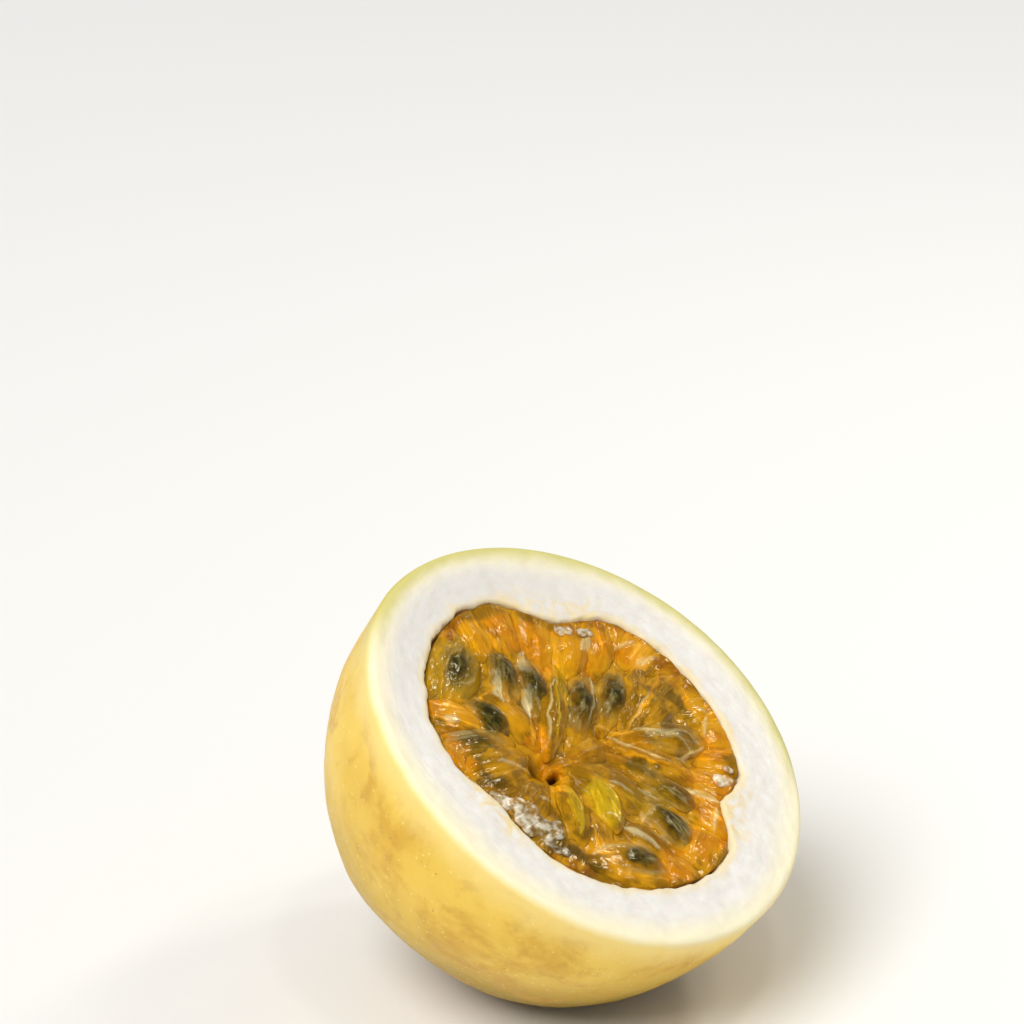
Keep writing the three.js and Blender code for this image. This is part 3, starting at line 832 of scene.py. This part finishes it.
class Sac:
    """One sac's shape, grown from its CAD solid and from its seed's, if it has one."""

    def __init__(self, name, seed_name, chance):
        self.name = name
        self.seed_name = seed_name
        node = frame["nodes"][name]
        points = to_fruit(points_of(node.data))
        faces = faces_of(node.data)
        centre, self.axis = long_axis(points)
        self.side = np.array([-self.axis[1], self.axis[0], 0.0])
        subparts = frame["record"]["subparts"]
        self.slot = next(s["material_slot"] for s in subparts if s["node"] == name)
        self.seed_centre = None
        if seed_name:
            seed_node = frame["nodes"][seed_name]
            seed = to_fruit(points_of(seed_node.data))
            self.seed_centre = (seed.min(0) + seed.max(0)) / 2
            faces += [tuple(i + len(points) for i in face) for face in faces_of(seed_node.data)]
            points = np.concatenate([points, seed])
        self.mesh = remeshed(name + "_flesh", points, faces, SAC_VOXEL, SAC_SWELL, 10)
        co = points_of(self.mesh)
        self.along = (co - centre) @ self.axis
        self.across = (co - centre) @ self.side
        lengthwise = np.stack([self.along * 0.2, self.across * 1.2, co[:, 2] * 1.2], axis=1)
        ridged = waves(lengthwise, 1.0, 3, seed=chance.random() * 9)
        soft = waves(co, 2.6, 3, seed=chance.random() * 9)
        ridges = 0.07 if self.slot == "sac_orange" else 0.14
        co += normals_of(self.mesh) * (SAC_GROWTH + ridges * ridged + 0.2 * soft)[:, None]
        self.co = spread_to_wall(co)
        self.shift = chance.random() * 50

    def settle(self, uneven, surface):
        """Presses the sac from the uneven height of the sacs' tops to the pulp's surface."""
        proud = self.co[:, 2] - uneven.at(self.co)
        deep = proud + RELIEF_DEPTH * (1 - RELIEF_KEPT)
        pressed = np.where(proud > -RELIEF_DEPTH, proud * RELIEF_KEPT, deep)
        self.co[:, 2] = surface.at(self.co) + pressed - hollow_depth(self.co)
        self.colour, raised = pulp_colour(self.co)
        self.co[:, 2] += STREAK_HEIGHT * raised * smooth_step(-1.0, -0.2, pressed)

    def seed_distance(self):
        """The distance from the seed's middle, as a share of the way to its outline."""
        if self.seed_centre is None:
            return None
        away = self.co - self.seed_centre
        return np.sqrt(
            (away @ self.axis / SEED_HALVES[0]) ** 2
            + (away @ self.side / SEED_HALVES[1]) ** 2
            + (away[:, 2] / SEED_SIGHT) ** 2
        )

    def finish(self, surface):
        mesh = self.mesh
        mesh.vertices.foreach_set("co", to_row(self.co).ravel())
        obj = smooth_object(mesh)
        grain = np.stack([self.along, self.across, self.co[:, 2]], axis=1) + self.shift
        proud = self.co[:, 2] - surface.at(self.co) + JUICE_DEPTH
        clarity = SEED_CLARITY.get(self.name, 1.0)
        dress(obj, self.colour, grain, self.co, proud, self.seed_distance(), clarity)
        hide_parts(*[n for n in (self.name, self.seed_name) if n])
        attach(obj, "root")
        mesh.materials.clear()
        mesh.materials.append(SAC_MATERIALS[self.slot])


class HeightMap:
    """A height for each place on the cut face, on a square grid."""

    STEP = 0.25
    HALF = 26.0

    def __init__(self, clouds):
        """Starts from the highest point of the given point clouds in each cell."""
        self.count = int(2 * self.HALF / self.STEP)
        self.values = np.full((self.count, self.count), -np.inf)
        for co in clouds:
            i, j = self.cell(co)
            np.maximum.at(self.values, (i, j), co[:, 2])
        for _ in range(self.count):
            empty = np.isinf(self.values)
            if not empty.any():
                break
            spread = self.neighbours().max(0)
            self.values[empty] = spread[empty]

    def cell(self, co):
        index = ((co[:, :2] + self.HALF) / self.STEP).astype(int).clip(0, self.count - 1)
        return index[:, 0], index[:, 1]

    def neighbours(self):
        padded = np.pad(self.values, 1, mode="edge")
        n = self.count
        return np.stack([padded[a : a + n, b : b + n] for a in (0, 1, 2) for b in (0, 1, 2)])

    def smooth(self, times):
        for _ in range(times):
            self.values = self.neighbours().mean(0)

    def rise_to_wall(self, height):
        """Brings the heights by the cavity's wall to the given one."""
        across = (np.arange(self.count) + 0.5) * self.STEP - self.HALF
        x, y = np.meshgrid(across - CAVITY_SHIFT, across, indexing="ij")
        share = np.hypot(x, y) / (CAVITY_RADIUS - ridge_at(np.arctan2(y, x)))
        near = 0.85 * smooth_step(0.6, 0.93, share)
        self.values += (height - self.values) * near

    def at(self, co):
        """The height at each point, by linear interpolation."""
        place = ((co[:, :2] + self.HALF) / self.STEP - 0.5).clip(0, self.count - 1.001)
        i, j = place.astype(int).T
        i, j = np.minimum(i, self.count - 2), np.minimum(j, self.count - 2)
        u, v = place[:, 0] - i, place[:, 1] - j
        low = self.values[i, j] * (1 - u) + self.values[i + 1, j] * u
        high = self.values[i, j + 1] * (1 - u) + self.values[i + 1, j + 1] * u
        return low * (1 - v) + high * v


SAC_MATERIALS = {
    "sac_olive": pulp_material("sac_olive", 0.1, 0.42),
    "sac_orange": pulp_material("sac_orange", 0.1, 0.34),
}


def make_sacs():
    """All the sacs, and their common surface."""
    chance = random.Random(7)
    nodes = frame["nodes"]
    sacs = []
    for name in sorted(n for n in nodes if n.startswith("sac_")):
        seed = name.replace("sac_", "seed_")
        sacs.append(Sac(name, seed if seed in nodes else None, chance))
    uneven = HeightMap([sac.co for sac in sacs])
    uneven.smooth(TOPS_SMOOTHING)
    surface = copy.deepcopy(uneven)
    surface.rise_to_wall(WALL_TOP)
    for sac in sacs:
        sac.settle(uneven, surface)
        sac.finish(surface)
    return surface


# ---------------------------------------------------------------- pulp bed
BED_RINGS = 96
BED_ROWS = 40
BED_GAP = 0.12  # to the cavity's wall at the surface
DEEP_GAP = 0.3  # to the cavity's wall below


def make_bed(surface):
    """The juice and deeper sacs, lapping up between the sacs that show."""
    rings = []
    for i in range(1, BED_RINGS + 1):
        rings.append(cavity_ring(CAVITY_RADIUS * i / BED_RINGS, 0, BED_GAP))
    top = np.concatenate([*rings, [[CAVITY_SHIFT, 0, 0]]])
    top[:, 2] = surface.at(top) - JUICE_DEPTH + 0.1 * waves(top, 1.5, 3, seed=11)
    top[:, 2] -= hollow_depth(top)
    floor = top[:, 2].min() - 0.5
    radii, heights, _ = side_profile(CAVITY_RADIUS, CAVITY_DEPTH, BED_ROWS, floor)
    below = [cavity_ring(r, z, DEEP_GAP) for r, z in list(zip(radii, heights))[:-1]]
    end = [[CAVITY_SHIFT, 0, DEEP_GAP - CAVITY_DEPTH]]
    points = np.concatenate([top[:-1], *below, top[-1:], end])
    count = BED_RINGS + len(below)
    faces = closed_rings(count, AROUND, count * AROUND, count * AROUND + 1)
    obj = mesh_object("pulp_mass", to_row(points), [tuple(reversed(f)) for f in faces])
    away = points[:, :2] - HEART
    far = np.hypot(away[:, 0], away[:, 1])
    turn = np.arctan2(away[:, 1], away[:, 0])
    grain = np.stack([far, turn * 8, points[:, 2]], axis=1)
    dress(obj, pulp_colour(points)[0], grain, points, np.full(len(points), 0.16))
    obj.data.materials.append(pulp_material("pulp_bed", 0.06, 0.2))
    return obj


# ---------------------------------------------------------------- clear jelly
# Blobs of clear jelly by the wall: middle, radius and height above the pulp.
JELLY_BLOBS = [
    (-20.7, -0.6, 0.9, 0.0),
    (-20.2, -2.0, 1.2, 0.06),
    (-18.8, -3.2, 1.3, 0.06),
    (-17.6, -4.6, 1.2, 0.06),
    (-19.6, -4.9, 1.5, 0.0),
    (-20.0, -6.4, 1.3, 0.06),
    (-18.0, -6.8, 1.6, 0.0),
    (-17.0, -8.4, 1.2, 0.06),
    (-18.8, -8.6, 1.2, 0.0),
    (-15.8, -7.6, 0.9, 0.0),
    (-19.2, -2.6, 0.7, 0.3),
    (-17.5, -4.9, 0.5, 0.42),
    (-19.8, -6.0, 0.6, 0.36),
    (-18.8, -10.2, 0.8, 0.06),
    (-17.8, -10.9, 0.9, 0.0),
    (8.6, 14.2, 1.0, 0.06),
    (9.8, 13.6, 0.9, 0.12),
    (11.6, 12.6, 0.9, 0.12),
    (12.8, 12.2, 0.8, 0.06),
    (12.3, -13.5, 1.1, 0.12),
    (13.6, -14.0, 1.0, 0.06),
    (15.2, -12.9, 0.8, 0.12),
]


BALL_RINGS = 9
BALL_AROUND = 18
BALL_SQUASH = 0.26  # a blob's height as a share of its width
JELLY_VOXEL = 0.14


def ball(centre, radius):
    """Points and faces of a squashed ball."""
    rings = []
    height = radius * BALL_SQUASH
    around = np.arange(BALL_AROUND) * 2 * np.pi / BALL_AROUND
    for i in range(1, BALL_RINGS + 1):
        turn = math.pi * i / (BALL_RINGS + 1)
        level = radius * math.sin(turn)
        up = np.full(BALL_AROUND, height * math.cos(turn))
        rings.append(np.column_stack([level * np.cos(around), level * np.sin(around), up]))
    points = np.concatenate([*rings, [[0, 0, height], [0, 0, -height]]]) + centre
    count = BALL_RINGS * BALL_AROUND
    return points, closed_rings(BALL_RINGS, BALL_AROUND, count, count + 1)


def make_jelly(surface):
    """Low wet blobs, pale where they stand up, partly as painted reflection of their glassy surface,
    and the flesh's own colour where they thin out.
    """
    clouds, faces, count = [], [], 0
    for x, y, radius, lift in JELLY_BLOBS:
        height = surface.at(np.array([[x, y, 0.0]]))[0] + lift
        points, own = ball((x, y, height), radius)
        faces += [tuple(i + count for i in face) for face in own]
        clouds.append(points)
        count += len(points)
    mesh = remeshed("clear_jelly", np.concatenate(clouds), faces, JELLY_VOXEL, 0.0, 24)
    co = points_of(mesh)
    co += normals_of(mesh) * (0.02 + 0.2 * waves(co, 1.5, 3, seed=31))[:, None]
    mesh.vertices.foreach_set("co", to_row(co).ravel())
    obj = smooth_object(mesh)
    # Pale patches where the blobs stand up, partly painted reflection of the wet glassy surface.
    clear = smooth_step(-0.45, 0.35, waves(co, 0.9, 4, seed=32))
    clear *= smooth_step(0.02, 0.34, co[:, 2] - surface.at(co))
    colour = pulp_colour(co)[0]
    colour += (np.array(srgb(212, 206, 186)) - colour) * (0.06 + 0.78 * clear)[:, None]
    dress(obj, colour, co, co, np.ones(len(co)))
    mesh.materials.clear()
    mesh.materials.append(pulp_material("clear_jelly", 0.04, 0.3))
    return obj


# ---------------------------------------------------------------- floor, lights and camera
FLOOR_HALF = 6  # metres
MID_HEIGHT = 0.025  # where the softboxes look, in metres
CAMERA_DIRECTION = (-54.93, 24)  # azimuth and elevation in degrees
CAMERA_DISTANCE = 354.8 * MM
CAMERA_AIM = (-10.61 * MM, 27.37 * MM)  # how far right of and above the cut's centre it looks


def make_floor():
    half = FLOOR_HALF
    points = [(-half, -half, 0), (half, -half, 0), (half, half, 0), (-half, half, 0)]
    obj = mesh_object("floor", points, [(0, 1, 2, 3)])
    m = Nodes("floor")
    m.set(Base_Color=srgb(244, 243, 241), Roughness=0.6)
    obj.data.materials.append(m.material)


def put_in_scene(name, data):
    """A light or camera in the scene."""
    obj = bpy.data.objects.new(name, data)
    bpy.context.scene.collection.objects.link(obj)
    return obj


def far_away(direction):
    """The unit vector towards a direction given as azimuth and elevation in degrees."""
    azimuth, elevation = (math.radians(a) for a in direction)
    level = math.cos(elevation)
    return Vector((math.sin(azimuth) * level, -math.cos(azimuth) * level, math.sin(elevation)))


def sunlight(name, direction, strength, spread):
    data = bpy.data.lights.new(name, "SUN")
    data.energy = strength
    data.angle = math.radians(spread)
    obj = put_in_scene(name, data)
    obj.rotation_euler = far_away(direction).to_track_quat("Z", "Y").to_euler()


def softbox(name, direction, distance, size, power, colour):
    """An area light that looks at the fruit from a direction given as azimuth and elevation."""
    away = far_away(direction)
    data = bpy.data.lights.new(name, "AREA")
    data.shape = "RECTANGLE"
    data.size, data.size_y = size
    data.energy = power
    data.color = colour
    obj = put_in_scene(name, data)
    obj.location = Vector((0, 0, MID_HEIGHT)) + away * distance
    obj.rotation_euler = away.to_track_quat("Z", "Y").to_euler()


def make_lights():
    world = bpy.data.worlds.new("studio")
    world.use_nodes = True
    background = world.node_tree.nodes["Background"]
    background.inputs["Color"].default_value = (1, 1, 1, 1)
    background.inputs["Strength"].default_value = 0.36
    bpy.context.scene.world = world
    sunlight("key", (-95, 52), 2.4, 40)
    warm = (1, 0.96, 0.8)
    softbox("back", (66, 46), 0.6, (0.08, 0.06), 0.42, warm)
    softbox("back_low", (92, 36), 0.6, (0.05, 0.05), 0.05, warm)
    softbox("back_left", (44, 58), 0.6, (0.06, 0.06), 0.22, warm)
    softbox("glint", (-20, 72), 0.5, (0.04, 0.05), 0.16, warm)


def make_camera():
    azimuth = math.radians(CAMERA_DIRECTION[0])
    back = far_away(CAMERA_DIRECTION)
    right = Vector((math.cos(azimuth), math.sin(azimuth), 0))
    centre = FRUIT.translation
    place = centre + back * CAMERA_DISTANCE
    target = centre + right * CAMERA_AIM[0] + back.cross(right) * CAMERA_AIM[1]
    data = bpy.data.cameras.new("camera")
    data.lens = 100
    data.sensor_width = 36
    data.clip_start = 0.01
    camera = put_in_scene("camera", data)
    camera.location = place
    camera.rotation_euler = (place - target).to_track_quat("Z", "Y").to_euler()
    bpy.context.scene.camera = camera


# ---------------------------------------------------------------- build
bpy.context.scene.view_settings.view_transform = "Standard"
make_camera()
make_lights()
make_floor()

rind = make_rind()
rind.data.materials.append(rind_material())
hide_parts("rind")
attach(rind, "root")

surface = make_sacs()
bed = make_bed(surface)
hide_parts("pulp_bed")
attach(bed, "root")

jelly = make_jelly(surface)
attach(jelly, "root")
